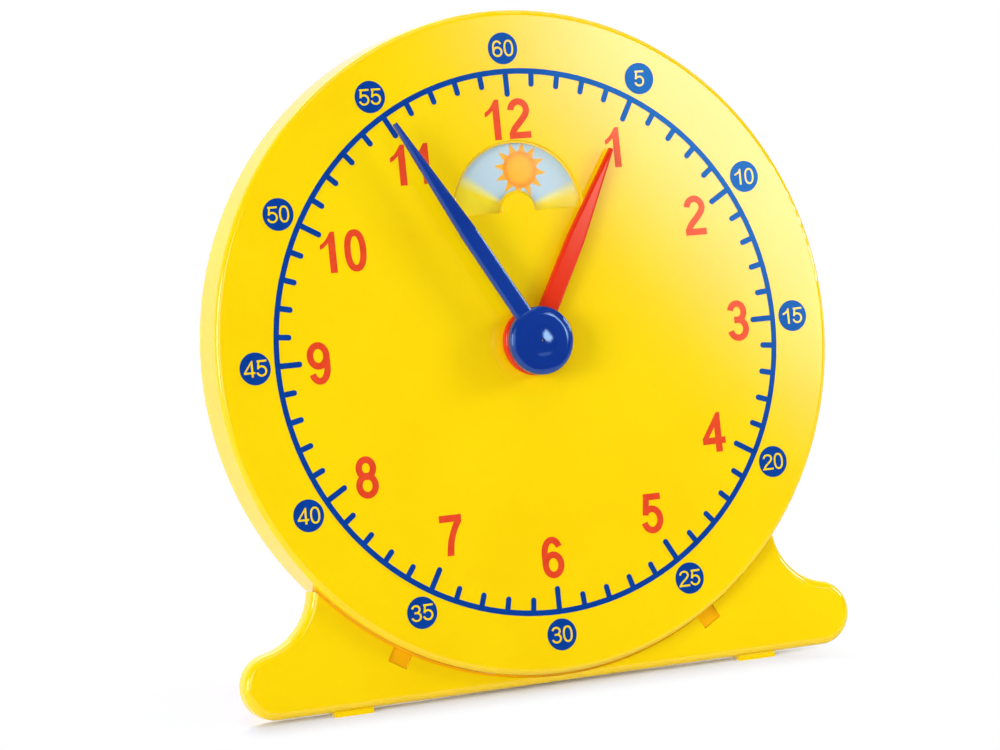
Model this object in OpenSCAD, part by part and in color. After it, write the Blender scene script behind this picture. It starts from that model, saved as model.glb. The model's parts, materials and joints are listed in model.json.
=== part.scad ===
// Sun and moon demonstration clock: a geared teaching clock that leans back in a low stand.
// Turning the minute hand drives the hour hand and a sky disc behind a half-round window.
// Dial frame: origin at the dial centre on the front of the face, x to the right,
// y up the dial and z towards the viewer. Angles on the dial run clockwise from 12.

/* [Case] */
// Outer radius of the round case
case_r = 200; // [195:1:205]
// Depth of the case from the face to its rear edge
case_depth = 29; // [28:0.5:34]
// Thickness of the face and the side wall
case_wall = 2.8; // [2.5:0.1:3]
// Radius of the rounded front edge
rim_round = 3.4; // [3:0.1:4]
// Thickness of the rear cover
cover_t = 2.4; // [2:0.1:3]
// Distance from the case's rear edge to the cover's outer face
cover_recess = 2.4; // [2:0.1:3]

/* [Lean] */
// Angle that the dial leans back from upright
lean = 14; // [10:0.5:16]
// Height of the dial centre above the table
dial_h = 204.5; // [204:0.1:205.5]

/* [Window] */
// Height of the sky disc's axis above the dial centre
window_y = 79; // [76:0.5:81]
// Radius of the half-round window
window_r = 42.2; // [40:0.1:43]
// Drop of the window's flat edge below the sky disc's axis
window_drop = 0.8; // [0.4:0.1:1.5]
// Radius of the round tab in the window's flat edge
tab_r = 11; // [10:0.1:13]
// Radius of the window's and the tab's rounded edges
window_round = 0.7; // [0.4:0.1:1]
// Thickness of the clear lens
lens_t = 1.5; // [1:0.1:1.7]
// Bevel along the lens's front edges
lens_bevel = 0.5; // [0.3:0.1:0.8]

/* [Dial print] */
// Middle radius of the minute ring
ring_r = 162.9; // [158:0.1:165]
// Width of the ring and of the ticks
ring_w = 3.4; // [2.5:0.1:4]
// Length of a one-minute tick inwards from the middle of the ring
minor_len = 9.4; // [6:0.1:11]
// Length of a five-minute tick inwards from the middle of the ring
major_len = 15.3; // [12:0.1:17]
// Radius of the circle that the minute badges sit on
badge_at_r = 176.8; // [175:0.1:180]
// Radius of a minute badge
badge_r = 9.6; // [8:0.1:10]
// Thickness of a layer of print
ink_t = 0.15; // [0.1:0.05:0.2]

/* [Hands] */
// Radius of both hubs
hub_r = 20.6; // [18:0.1:23]
// Angle of the minute hand at rest
minute_at = -30.3; // [-180:0.1:180]
// Reach of the minute hand from the axis
minute_reach = 157; // [150:0.5:160]
// Reach of the hour hand from the axis
hour_reach = 128; // [110:0.5:135]
// Angle of the hour hand at rest
hour_at = 29.5; // [-180:0.1:180]
// Width of the minute hand beside its hub
minute_w = 11.2; // [9:0.1:12]
// Width of the hour hand beside its hub
hour_w = 12.2; // [11:0.1:15]
// Width of both hands at the tip
hand_tip_w = 2.6; // [2.5:0.1:3.2]
// Angle by which the hands dip towards the face
hand_dip = 0.5; // [0:0.1:0.6]
// Radius of the rounded long edges of the hands
hand_round = 1.8; // [1:0.1:2]

/* [Gears] */
// Tooth size: pitch diameter per tooth
gear_module = 1; // [1:1:1]
// Pressure angle of the teeth
pressure_angle = 25; // [22:1:26]
// Play between meshing flanks along the pitch circle
backlash = 0.3; // [0.2:0.02:0.36]
// Width of a wheel's toothed rim
wheel_t = 3.4; // [3:0.1:3.6]
// Angle of the sun at rest
sun_at = 11; // [-180:0.1:180]

/* [Stand] */
// Depth of the stand plate
stand_depth = 11; // [10:0.5:12]
// Distance from the face to the stand's front
stand_set_back = 7; // [6:0.5:8]
// Distance from the dial centre to the stand's lower edge
stand_drop = 205.4; // [205:0.1:206]
// Radius of the round end of each side
lobe_r = 19.7; // [18:0.1:21]
// Radius of the hollow shoulder between the end and the case
shoulder_r = 38.5; // [36:0.5:41]
// Slope of the shoulder where it meets the round end
shoulder_slope = 10.7; // [9:0.1:13]
// Thickness of the stand's walls
stand_wall = 2.4; // [2:0.1:2.6]
// Radius of the stand's rounded front edges
stand_round = 4.5; // [3:0.1:5]
// Gap in front between the case and the stand's arch
arch_gap = 1.6; // [1:0.1:2]
// Angle of the two catches from 12
catch_at = 150.2; // [140:0.1:155]

/* [Feet] */
// Sideways distance from the middle to each foot
foot_x = 133.5; // [125:0.5:138]
// Width of a foot
foot_w = 24.5; // [20:0.5:26]
// Length of a foot along the table
foot_len = 112; // [100:1:116]
// Thickness of a foot on the table
foot_t = 4.6; // [4:0.1:6]

/* [Hidden] */
$fn = 96;
eps = 0.01;

// Clearances: a running fit, a seat that is glued or pressed, and a visible gap
run = 0.05;
snug = 0.05;
gap = 0.5;

// Place of the dial centre, with the whole clock centred front to back
front_reach = rim_round * (cos(lean) + sin(lean) - 1) - case_r * sin(lean);
back_reach = case_r * sin(lean) + case_depth * cos(lean);
dial_y = -(front_reach + back_reach) / 2;

// Levels inside the case along the dial's z
face_back = -case_wall;
cover_back = cover_recess - case_depth;
cover_front = cover_back + cover_t;
lens_seat_w = 1.4;
lens_seat_z = 0.65 * face_back;
lens_play = 0.3;
disc_front = face_back - 1.5;
wheel_back = disc_front - wheel_t;
pinion_front = face_back - 1.2;
layer_gap = 1.5;
second_front = wheel_back - layer_gap;
second_back = second_front - wheel_t;
cannon_front = wheel_back - gap;
cannon_back = second_back - 0.8;
bridge_t = 2.4;
bridge_front = second_back - 2.9;
bridge_back = bridge_front - bridge_t;

// Teeth of the train: 1 to 12 for the hour hand, 1 to 24 for the sky disc
cannon_n = 15;
second_n = 45;
pinion_n = 12;
hour_n = 48;
disc_n = 96;
addendum = 0.9 * gear_module;
dedendum = 1.2 * gear_module;
flank_steps = 4;

// The intermediate gear sits where its pinion meets both the hour wheel and the disc
hour_centres = (pinion_n + hour_n) * gear_module / 2;
disc_centres = (pinion_n + disc_n) * gear_module / 2;
inter_y = (pow(hour_centres, 2) - pow(disc_centres, 2) + pow(window_y, 2)) / (2 * window_y);
inter_x = sqrt(pow(hour_centres, 2) - pow(inter_y, 2));
inter_at = [inter_x, inter_y];
disc_at = [0, window_y];

// Directions along which the gears meet, and the turn that puts each pair in mesh
to_inter = atan2(inter_y, inter_x);
to_disc = atan2(window_y - inter_y, -inter_x);
cannon_turn = to_inter;
second_turn = to_inter + 180 + 180 / second_n;
pinion_turn = to_disc;
disc_turn = to_disc + 180 + 180 / disc_n;
hour_phase = (to_inter + 180 - pinion_turn) * pinion_n / 360;
hour_turn = to_inter - (0.5 - hour_phase) * 360 / hour_n;

// Shafts, pins and the centre stack
arbor_r = 3;
sleeve_r = 5.5;
bush_r = 8;
bush_flange_r = 12;
bush_flange_t = 0.7;
inter_pin_r = 2.5;
disc_pin_r = 4;
pin_front = 0.4 * face_back;
pin_boss_t = 0.8;
hour_hub_z = 1.1;
hour_hub_t = 6.3;
minute_hub_z = 9.4;
minute_hub_t = 6.8;
hub_round = 2.4;
bump_r = 11;
bump_rise = 0.8;
arm_t = 3.6;
arm_sink = 0.3;
arbor_top = minute_hub_z + 4;
arbor_back = bridge_back - 1.7;

// Pillars moulded behind the face, with their screws
bridge_pillars = [[-36, -14], [36, -14], [-57, window_y], [57, window_y]];
bridge_pillar_r = 4.5;
cover_pillar_at_r = 172;
cover_pillar_r = 5;
cover_pillar_angles = [30 : 60 : 330];
screw_r = 1.4;
screw_head_r = 3.1;
screw_head_t = 1.8;
screw_len = 8;
screw_hole = 9;

// Sky disc print
label_r = 45.5;
label_hole_r = disc_pin_r + 1;
label_t = 0.2;
motif_at_r = 25.2;
sun_r = 11;
ray_tip_r = 17.2;
ray_count = 12;
ray_half = 12;
moon_r = 11;
star_r = 2.4;
star_points = 5;
stars = [[-18, 17], [-27, 8], [-14, 34], [17, 33], [26, 22], [30, 8]];

// Stand outline
stand_front = -stand_set_back;
stand_back = stand_front - stand_depth;
stand_front_t = 2.6;
arch_r = case_r + arch_gap;
arch_groove = 3.5;
lobe_c = [case_r + 0.2 - lobe_r, lobe_r - stand_drop];
shoulder_n = [sin(shoulder_slope), cos(shoulder_slope)];
shoulder_c = lobe_c + (lobe_r + shoulder_r) * shoulder_n;
horn_blunt = 2.2;
catch_w = 13;
catch_top_r = 210.3;
lug_play = 0.5;
lug_z = stand_front - 9.4;
lug_t = 2;
stand_ribs_x = [30, 62, 84, 164];
stand_rib_w = 1.8;

// Feet: the tongue lies against bosses inside the stand
tongue_t = 3;
tongue_front = stand_front - 6.4;
tongue_back = tongue_front - tongue_t;
tongue_top = 29.4 - stand_drop;
toe_front = stand_front - 2;
foot_gap = 0.2;
foot_boss_r = 4;
foot_boss_grip = 3.4;
foot_screw_y = 17 - stand_drop;
foot_screw_dx = 7.5;
gusset_t = 3;
gusset_top = 22 - stand_drop;
gusset_len = 42;
heel_drop = 2.4;
heel_len = 5;

// Yellow, blue and red of the mouldings and the print
yellow = "#ffdc00";
print_blue = "#0f46a0";
hand_blue = "#1440a0";
hand_red = "#e6321e";

// Places of the screws of the foot at x
function foot_screws_at(x) = [for (side = [-1, 1]) [x + side * foot_screw_dx, foot_screw_y]];

// A point of the dial's y and z as the part's y and z
function in_part(y, z) = [
    dial_y + y * sin(lean) - z * cos(lean),
    dial_h + y * cos(lean) + z * sin(lean)
];

// Dial y at which the plane z reaches the height h above the table
function dial_y_at(z, h) = (h - dial_h - z * sin(lean)) / cos(lean);

function turned(p, a) = [p.x * cos(a) - p.y * sin(a), p.x * sin(a) + p.y * cos(a)];

// Involute of the angle a, in degrees
function involute(a) = tan(a) * 180 / PI - a;

// Half the angle that a tooth of an n-tooth gear spans at radius r
function half_tooth(n, r) =
    let (pitch_r = n * gear_module / 2)
    let (base_r = pitch_r * cos(pressure_angle))
    let (at_pitch = 90 / n - backlash / 4 / pitch_r * 180 / PI)
    at_pitch + involute(pressure_angle) - involute(acos(min(1, base_r / r)));

// Outline of an n-tooth gear whose first tooth points along x
function gear_points(n) =
    let (pitch_r = n * gear_module / 2)
    let (root_r = pitch_r - dedendum)
    let (tip_r = pitch_r + addendum)
    let (flank_r = max(root_r, pitch_r * cos(pressure_angle)))
    let (radii = [root_r, for (k = [0 : flank_steps]) flank_r + (tip_r - flank_r) * k / flank_steps])
    let (first = flank_r > root_r ? 0 : 1)
    let (last = len(radii) - 1)
    [
        for (i = [0 : n - 1], side = [-1, 1], k = [first : last])
            let (r = radii[side < 0 ? k : last + first - k])
            let (a = i * 360 / n + side * half_tooth(n, max(r, flank_r)))
            [r * cos(a), r * sin(a)]
    ];

// Star with the given number of points
function star_outline(r, points) = [
    for (i = [0 : 2 * points - 1])
        let (a = 90 + i * 180 / points)
        (i % 2 == 0 ? r : 0.45 * r) * [cos(a), sin(a)]
];

// Puts dial-frame geometry into the part's frame
module on_dial() {
    translate([0, dial_y, dial_h]) rotate([90 - lean, 0, 0]) children();
}

// Turns dial-frame geometry clockwise from 12
module clockwise(a) {
    rotate([0, 0, -a]) children();
}

// Cylinder between two levels of z
module post(at, r, z0, z1) {
    translate([at.x, at.y, min(z0, z1)]) cylinder(r = r, h = abs(z1 - z0));
}

// Toothed wheel between two levels of z
module gear(n, z0, z1) {
    translate([0, 0, z0]) linear_extrude(z1 - z0) polygon(gear_points(n));
}

// Screw along z with its head behind the level z
module screw(at, z, length = screw_len) {
    post(at, screw_r, z, z + length);
    translate([at.x, at.y, z]) mirror([0, 0, 1]) rotate_extrude() screw_head_profile();
}

// Half section of a pan head
module screw_head_profile() {
    intersection() {
        square([screw_head_r, screw_head_t]);
        translate([0, screw_head_t - 2 * screw_head_r]) circle(r = 2 * screw_head_r);
    }
}

// Centres of the cover's pillars
function cover_pillar(a) = cover_pillar_at_r * [sin(a), cos(a)];

// Half section of the case: face, rounded edge and side wall
module case_profile() {
    difference() {
        union() {
            translate([0, -case_depth]) square([case_r, case_depth - rim_round]);
            translate([0, -case_depth]) square([case_r - rim_round, case_depth]);
            translate([case_r - rim_round, -rim_round]) circle(r = rim_round);
        }
        translate([0, -case_depth - 1]) square([case_r - case_wall, case_depth - case_wall + 1]);
        translate([-case_r, -2 * case_depth]) square([case_r, 3 * case_depth]);
    }
}

// Section that takes the corner off an edge at the level top, with the given rounding:
// out is 1 where the body ends at r and -1 where it starts there
module edge_section(r, out, rounding, top) {
    mid = r - out * rounding;
    difference() {
        translate([min(mid, mid + out * (rounding + 1)), top - rounding])
            square([rounding + 1, rounding + 1]);
        translate([mid, top - rounding]) circle(r = rounding, $fn = 48);
    }
}

// Half-round window with the tab left standing in its flat edge, and a seat for the lens
module window_cut() {
    translate([0, window_y, 0]) difference() {
        rotate_extrude($fn = 120) {
            translate([tab_r + lens_seat_w, -2 * case_wall])
                square([window_r - tab_r - 2 * lens_seat_w, 3 * case_wall]);
            translate([tab_r, lens_seat_z]) square([window_r - tab_r, case_wall]);
            edge_section(tab_r, 1, window_round, 0);
            edge_section(window_r, -1, window_round, 0);
        }
        translate([-case_r, -case_r - window_drop, -case_r]) cube([2 * case_r, case_r, 2 * case_r]);
    }
}

module front_shell() {
    color(yellow) on_dial() difference() {
        union() {
            rotate_extrude($fn = 180) case_profile();
            for (p = bridge_pillars) post(p, bridge_pillar_r, face_back + eps, bridge_front);
            for (a = cover_pillar_angles) post(cover_pillar(a), cover_pillar_r, face_back + eps, cover_front);
            post(inter_at, 2 * inter_pin_r, face_back + eps, face_back - pin_boss_t);
            post(disc_at, 1.7 * disc_pin_r, face_back + eps, face_back - pin_boss_t);
            for (side = [-1, 1]) clockwise(side * catch_at) case_lug();
        }
        window_cut();
        post([0, 0], bush_r + snug, 1, 2 * face_back);
        post(inter_at, inter_pin_r + snug, pin_front, 3 * face_back);
        post(disc_at, disc_pin_r + snug, pin_front, 3 * face_back);
        for (p = bridge_pillars) post(p, screw_r + snug, bridge_front - 1, bridge_front + screw_hole);
        for (a = cover_pillar_angles)
            post(cover_pillar(a), screw_r + snug, cover_front - 1, cover_front + screw_hole);
    }
}

// Lug on the side wall that snaps into the stand's catch
module case_lug() {
    w = catch_w - 2 * lug_play;
    reach = catch_top_r - lug_play - case_r + case_wall / 2;
    translate([-w / 2, case_r - case_wall / 2, lug_z]) cube([w, reach, lug_t]);
}

module rear_cover() {
    color(yellow) on_dial() difference() {
        post([0, 0], case_r - case_wall - gap, cover_back, cover_front);
        for (a = cover_pillar_angles)
            post(cover_pillar(a), screw_r + snug, cover_back - 1, cover_front + 1);
    }
}

module cover_screws() {
    color("silver") on_dial() for (a = cover_pillar_angles) screw(cover_pillar(a), cover_back);
}

// Half section of the lens: a flat pane that lies in the window's seat, bevelled in front
module lens_profile() {
    inner = tab_r + lens_play;
    outer = window_r - lens_play;
    base = lens_seat_z + snug;
    top = base + lens_t;
    polygon([
        [inner, base], [outer, base], [outer, top - lens_bevel], [outer - lens_bevel, top],
        [inner + lens_bevel, top], [inner, top - lens_bevel]
    ]);
}

module window_lens() {
    color([0.9, 0.96, 1, 0.35]) on_dial() translate([0, window_y, 0])
        rotate_extrude(angle = 180, $fn = 120) lens_profile();
}

// One tick of the minute track, with a round inner end
module tick(length) {
    translate([-ring_w / 2, ring_r - length + ring_w / 2]) square([ring_w, length - ring_w / 2]);
    translate([0, ring_r - length + ring_w / 2]) circle(d = ring_w, $fn = 24);
}

module minute_track() {
    color(print_blue) on_dial() linear_extrude(ink_t) {
        difference() {
            circle(r = ring_r + ring_w / 2, $fn = 180);
            circle(r = ring_r - ring_w / 2, $fn = 180);
        }
        for (m = [0 : 59]) clockwise(6 * m) tick(m % 5 == 0 ? major_len : minor_len);
    }
}

module minute_badges() {
    color(print_blue) on_dial() linear_extrude(ink_t)
        for (m = [0 : 11]) clockwise(30 * m) translate([0, badge_at_r]) circle(r = badge_r);
}

module centre_bush() {
    color("ivory") on_dial() difference() {
        union() {
            post([0, 0], bush_r, disc_front + gap, 0);
            post([0, 0], bush_flange_r, 0, bush_flange_t);
        }
        post([0, 0], sleeve_r + run, disc_front, 1);
    }
}

// Plate behind the gears, with bosses that carry the pins and the arbor
module movement_bridge() {
    low = [-63, -20];
    high = [63, window_y + 6];
    corner = 6;
    color("whitesmoke") on_dial() difference() {
        union() {
            translate([0, 0, bridge_back]) linear_extrude(bridge_t) bridge_outline(low, high, corner);
            post(disc_at, 1.7 * disc_pin_r, bridge_back, wheel_back - gap);
            post(inter_at, 2 * inter_pin_r, bridge_back, second_back - gap);
        }
        post([0, 0], arbor_r + run, bridge_back - 1, 0);
        post(disc_at, disc_pin_r + snug, bridge_back - 1, 0);
        post(inter_at, inter_pin_r + snug, bridge_back - 1, 0);
        for (p = bridge_pillars) post(p, screw_r + snug, bridge_back - 1, 0);
        post([-30, 34], 15, bridge_back - 1, 0);
        post([40, 46], 13, bridge_back - 1, 0);
    }
}

// Rectangle with round corners
module bridge_outline(low, high, corner) {
    translate([low.x + corner, low.y]) square([high.x - low.x - 2 * corner, high.y - low.y]);
    translate([low.x, low.y + corner]) square([high.x - low.x, high.y - low.y - 2 * corner]);
    for (x = [low.x + corner, high.x - corner], y = [low.y + corner, high.y - corner])
        translate([x, y]) circle(r = corner, $fn = 48);
}

module bridge_screws() {
    color("silver") on_dial() for (p = bridge_pillars) screw(p, bridge_back);
}

module intermediate_pin() {
    color("lightgray") on_dial() post(inter_at, inter_pin_r, bridge_back, pin_front - snug);
}

module disc_pin() {
    color("lightgray") on_dial() post(disc_at, disc_pin_r, bridge_back, pin_front - snug);
}

// Dished spring washer that presses on the cannon pinion
module friction_washer() {
    inner = arbor_r + 0.6;
    outer = 9;
    thick = 0.35;
    crown = cannon_back - 0.3;
    color("gray") on_dial() rotate_extrude() polygon([
        [inner, crown - thick], [inner, crown], [outer, bridge_front + thick], [outer, bridge_front]
    ]);
}

// Level at which the horn beside the case is cut off blunt, where the shoulder nears the arch
function horn_y(inset) =
    let (far = norm(shoulder_c))
    let (along = (pow(arch_r + inset, 2) - pow(shoulder_r + inset, 2) + pow(far, 2)) / (2 * far))
    let (across = sqrt(pow(arch_r + inset, 2) - pow(along, 2)))
    (along * shoulder_c.y - across * shoulder_c.x) / far - horn_blunt;

// Half section of a round end of the stand
module lobe_section(inset, z0, z1) {
    difference() {
        translate([0, z0]) square([lobe_r - inset, z1 - z0]);
        if (inset == 0) edge_section(lobe_r, 1, stand_round, stand_front);
    }
}

// Straight foot of the stand up to the horns, under the arch and between the hollow shoulders;
// at its full size the arch has a groove in front and a ledge behind it that the case rests on
module stand_middle(inset, z0, z1) {
    top = horn_y(inset);
    flank = [
        [lobe_c.x, inset - stand_drop], lobe_c,
        [lobe_c.x + (top - lobe_c.y) * tan(shoulder_slope), top]
    ];
    difference() {
        translate([0, 0, z0]) linear_extrude(z1 - z0)
            polygon([each flank, for (i = [2 : -1 : 0]) [-flank[i].x, flank[i].y]]);
        post([0, 0], arch_r + inset, inset == 0 ? stand_front - arch_groove : z0 - 1, z1 + 1);
        if (inset == 0) post([0, 0], case_r + snug, z0 - 1, z1 + 1);
        for (side = [-1, 1]) translate([side * shoulder_c.x, shoulder_c.y, 0]) {
            post([0, 0], shoulder_r + inset, z0 - 1, z1 + 1);
            if (inset == 0) rotate_extrude() edge_section(shoulder_r, -1, stand_round, stand_front);
        }
        if (inset == 0) rotate([90, 0, 90]) translate([0, 0, -case_r]) linear_extrude(2 * case_r)
            edge_section(-stand_drop, -1, stand_round, stand_front);
    }
}

// The stand's outline between two levels, drawn in by the given amount; at its full size
// the front edges are rounded, apart from the arch
module stand_body(inset, z0, z1) {
    stand_middle(inset, z0, z1);
    for (side = [0, 1]) mirror([side, 0, 0]) translate([lobe_c.x, lobe_c.y, 0]) rotate([0, 0, -90])
        rotate_extrude(angle = 180 - shoulder_slope) lobe_section(inset, z0, z1);
}

// Opening in the stand's arch that a lug of the case snaps into
module catch_cut() {
    from_r = case_r - 2;
    floor_z = lug_z - lug_play;
    translate([-catch_w / 2, from_r, floor_z]) cube([catch_w, catch_top_r - from_r, stand_depth]);
}

// Block behind the arch that closes the catch at its sides, its end and its floor
module catch_block() {
    w = catch_w + 2 * stand_wall;
    translate([-w / 2, case_r, stand_back]) cube([w, catch_top_r + stand_wall - case_r, stand_depth]);
}

// Hollow stand plate, open behind, with ribs and the bosses for the feet
module stand_plate() {
    color(yellow) on_dial() difference() {
        union() {
            difference() {
                stand_body(0, stand_back, stand_front);
                stand_body(stand_wall, stand_back - 1, stand_front - stand_front_t);
            }
            intersection() {
                stand_middle(stand_wall / 2, stand_back + 1, stand_front - 1);
                for (side = [-1, 1]) {
                    for (x = stand_ribs_x) translate([side * x - stand_rib_w / 2, -stand_drop, stand_back])
                        cube([stand_rib_w, stand_drop, stand_depth]);
                    clockwise(side * catch_at) catch_block();
                }
            }
            for (x = [-foot_x, foot_x], p = foot_screws_at(x))
                post(p, foot_boss_r, tongue_front, stand_front - stand_front_t / 2);
        }
        for (side = [-1, 1]) {
            clockwise(side * catch_at) catch_cut();
            translate([side * foot_x - foot_w / 2 - foot_gap, -stand_drop - 1, stand_back - 1])
                cube([foot_w + 2 * foot_gap, stand_wall + 2, stand_depth - stand_front_t + 1]);
            for (p = foot_screws_at(side * foot_x))
                post(p, screw_r + snug, tongue_front - 1, stand_front - stand_front_t);
        }
    }
}

// Side view of a foot: toe under the stand, tongue up inside it and a bar back along the table
module foot_side() {
    under = -stand_drop - foot_gap;
    behind = stand_front - stand_front_t - foot_gap;
    step_top = foot_gap - stand_drop + stand_wall / 2;
    toe = in_part(dial_y_at(toe_front, 0), toe_front);
    heel = toe.x + foot_len;
    polygon([
        toe, in_part(under, toe_front), in_part(under, behind),
        in_part(step_top, behind), in_part(step_top, tongue_front), in_part(tongue_top, tongue_front),
        in_part(tongue_top, tongue_back), in_part(dial_y_at(tongue_back, foot_t), tongue_back),
        [heel - heel_len, foot_t], [heel, foot_t - heel_drop], [heel, 0]
    ]);
}

// Side view of the web that stiffens a foot's corner
module gusset_side() {
    corner = in_part(dial_y_at(tongue_back, foot_t), tongue_back);
    polygon([
        in_part(gusset_top, tongue_back + eps), corner + [gusset_len, 0], corner + [gusset_len, -1],
        in_part(dial_y_at(tongue_back, foot_t - 1), tongue_back + eps)
    ]);
}

// One foot, at the given distance from the middle
module foot(x) {
    difference() {
        translate([x, 0, 0]) rotate([90, 0, 90]) {
            translate([0, 0, -foot_w / 2]) linear_extrude(foot_w) foot_side();
            translate([0, 0, -gusset_t / 2]) linear_extrude(gusset_t) gusset_side();
        }
        on_dial() for (p = foot_screws_at(x)) post(p, screw_r + snug, tongue_front + 1, tongue_back - 1);
    }
}

module left_foot() {
    color(yellow) foot(-foot_x);
}

module right_foot() {
    color(yellow) foot(foot_x);
}

module foot_screws() {
    color("silver") on_dial() for (x = [-foot_x, foot_x], p = foot_screws_at(x))
        screw(p, tongue_back, tongue_t + foot_boss_grip);
}

// Half section of a hub with rounded rims
module hub_profile(z, t) {
    r = hub_round;
    translate([0, z]) square([hub_r - r, t]);
    translate([0, z + r]) square([hub_r, t - 2 * r]);
    for (c = [z + r, z + t - r]) translate([hub_r - r, c]) circle(r = r, $fn = 48);
}

// Half section of the low bump in the middle of the minute hub
module bump_profile(z) {
    dome_r = (pow(bump_r, 2) + pow(bump_rise, 2)) / (2 * bump_rise);
    intersection() {
        translate([0, z + bump_rise - dome_r]) circle(r = dome_r, $fn = 180);
        translate([0, z - 1]) square([bump_r, bump_rise + 2]);
    }
}

// Takes the corner off the top of a straight edge from p to q, with the body on its left
module straight_edge_cut(p, q) {
    along = q - p;
    translate([p.x, p.y, 0]) rotate([0, 0, atan2(along.y, along.x)]) rotate([90, 0, 90])
        translate([0, 0, -1]) linear_extrude(norm(along) + 2) edge_section(0, -1, hand_round, 0);
}

// Arm of a hand along y: parallel to the knee, then tapered to a blunt tip, with rounded long edges
module hand_arm(w, knee, reach, hub_top) {
    edge = [[w / 2, 0], [0.95 * w / 2, knee], [hand_tip_w / 2, reach]];
    translate([0, 0, hub_top - arm_sink]) rotate([-hand_dip, 0, 0]) difference() {
        translate([0, 0, -arm_t]) linear_extrude(arm_t)
            polygon([each edge, for (i = [2 : -1 : 0]) [-edge[i].x, edge[i].y]]);
        for (side = [0, 1], i = [0, 1]) mirror([side, 0, 0]) straight_edge_cut(edge[i], edge[i + 1]);
    }
}

module minute_hand() {
    knee = 78;
    pin_hole_r = 1.1;
    hub_top = minute_hub_z + minute_hub_t;
    color(hand_blue) on_dial() difference() {
        union() {
            rotate_extrude($fn = 120) {
                hub_profile(minute_hub_z, minute_hub_t);
                bump_profile(hub_top);
            }
            clockwise(minute_at) hand_arm(minute_w, knee, minute_reach, hub_top);
        }
        post([0, 0], arbor_r + snug, minute_hub_z - 1, arbor_top);
        post([0, 0], pin_hole_r, arbor_top - 1, hub_top + bump_rise + 1);
    }
}

module minute_arbor() {
    color("lightgray") on_dial() post([0, 0], arbor_r, arbor_back, arbor_top - snug);
}

module cannon_pinion() {
    color("ivory") on_dial() difference() {
        rotate([0, 0, cannon_turn]) gear(cannon_n, cannon_back, cannon_front);
        post([0, 0], arbor_r + snug, cannon_back - 1, cannon_front + 1);
    }
}

// Spring clip on the arbor behind the bridge
module arbor_clip() {
    color("gray") on_dial() difference() {
        post([0, 0], 2 * arbor_r, bridge_back - 0.2, bridge_back - 1);
        post([0, 0], arbor_r + snug, bridge_back - 2, bridge_back);
        translate([-arbor_r / 2, 0, bridge_back - 2]) cube([arbor_r, 3 * arbor_r, 3]);
    }
}

module hour_hand() {
    knee = 68;
    hub_top = hour_hub_z + hour_hub_t;
    color(hand_red) on_dial() difference() {
        union() {
            rotate_extrude($fn = 120) hub_profile(hour_hub_z, hour_hub_t);
            clockwise(hour_at) hand_arm(hour_w, knee, hour_reach, hub_top);
        }
        post([0, 0], sleeve_r + snug, hour_hub_z - 1, hub_top + 1);
    }
}

// Hour wheel with the sleeve that carries the hour hand
module hour_wheel() {
    color("ivory") on_dial() difference() {
        union() {
            rotate([0, 0, hour_turn]) gear(hour_n, wheel_back, disc_front);
            post([0, 0], sleeve_r, wheel_back, hour_hub_z + hour_hub_t - 0.4);
        }
        post([0, 0], arbor_r + run, wheel_back - 1, hour_hub_z + hour_hub_t + 1);
    }
}

// Minute wheel and its pinion, moulded in one
module intermediate_gear() {
    color("ivory") on_dial() translate([inter_at.x, inter_at.y, 0]) difference() {
        union() {
            rotate([0, 0, second_turn]) gear(second_n, second_back, second_front);
            rotate([0, 0, pinion_turn]) gear(pinion_n, second_front - 1, pinion_front);
        }
        post([0, 0], inter_pin_r + run, second_back - 1, pinion_front + 1);
    }
}

module sun_moon_gear() {
    color("ivory") on_dial() translate([disc_at.x, disc_at.y, 0]) difference() {
        rotate([0, 0, disc_turn]) gear(disc_n, wheel_back, disc_front);
        post([0, 0], disc_pin_r + run, wheel_back - 1, disc_front + 1);
    }
}

// Printed round label on the front of the sky disc
module sky_label() {
    color("lightblue") on_dial() translate([disc_at.x, disc_at.y, disc_front]) difference() {
        cylinder(r = label_r, h = label_t);
        translate([0, 0, -1]) cylinder(r = label_hole_r, h = label_t + 2);
    }
}

// Plain sun with straight rays
module sun_outline() {
    circle(r = sun_r);
    for (i = [0 : ray_count - 1]) rotate([0, 0, i * 360 / ray_count])
        polygon([sun_r * turned([1, 0], -ray_half), [ray_tip_r, 0], sun_r * turned([1, 0], ray_half)]);
}

// Plain crescent moon
module moon_outline() {
    difference() {
        circle(r = moon_r);
        translate([0.5 * moon_r, 0.2 * moon_r]) circle(r = 0.85 * moon_r);
    }
}

// Sun on the day half, crescent and stars on the night half
module sun_moon_print() {
    color("orange") on_dial() translate([disc_at.x, disc_at.y, disc_front + label_t])
        clockwise(sun_at) linear_extrude(ink_t) {
            translate([0, motif_at_r]) sun_outline();
            rotate([0, 0, 180]) {
                translate([0, motif_at_r]) moon_outline();
                for (p = stars) translate(p) polygon(star_outline(star_r, star_points));
            }
        }
}

front_shell();
rear_cover();
cover_screws();
window_lens();
minute_track();
minute_badges();
centre_bush();
movement_bridge();
bridge_screws();
intermediate_pin();
disc_pin();
friction_washer();
stand_plate();
left_foot();
right_foot();
foot_screws();
minute_hand();
minute_arbor();
cannon_pinion();
arbor_clip();
hour_hand();
hour_wheel();
intermediate_gear();
sun_moon_gear();
sky_label();
sun_moon_print();
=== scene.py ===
"""Looks of the sun and moon demonstration clock: finishes, printed numbers, light and camera."""
import json
import math

import bmesh
import bpy
from mathutils import Matrix, Vector
from mathutils.geometry import delaunay_2d_cdt


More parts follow.
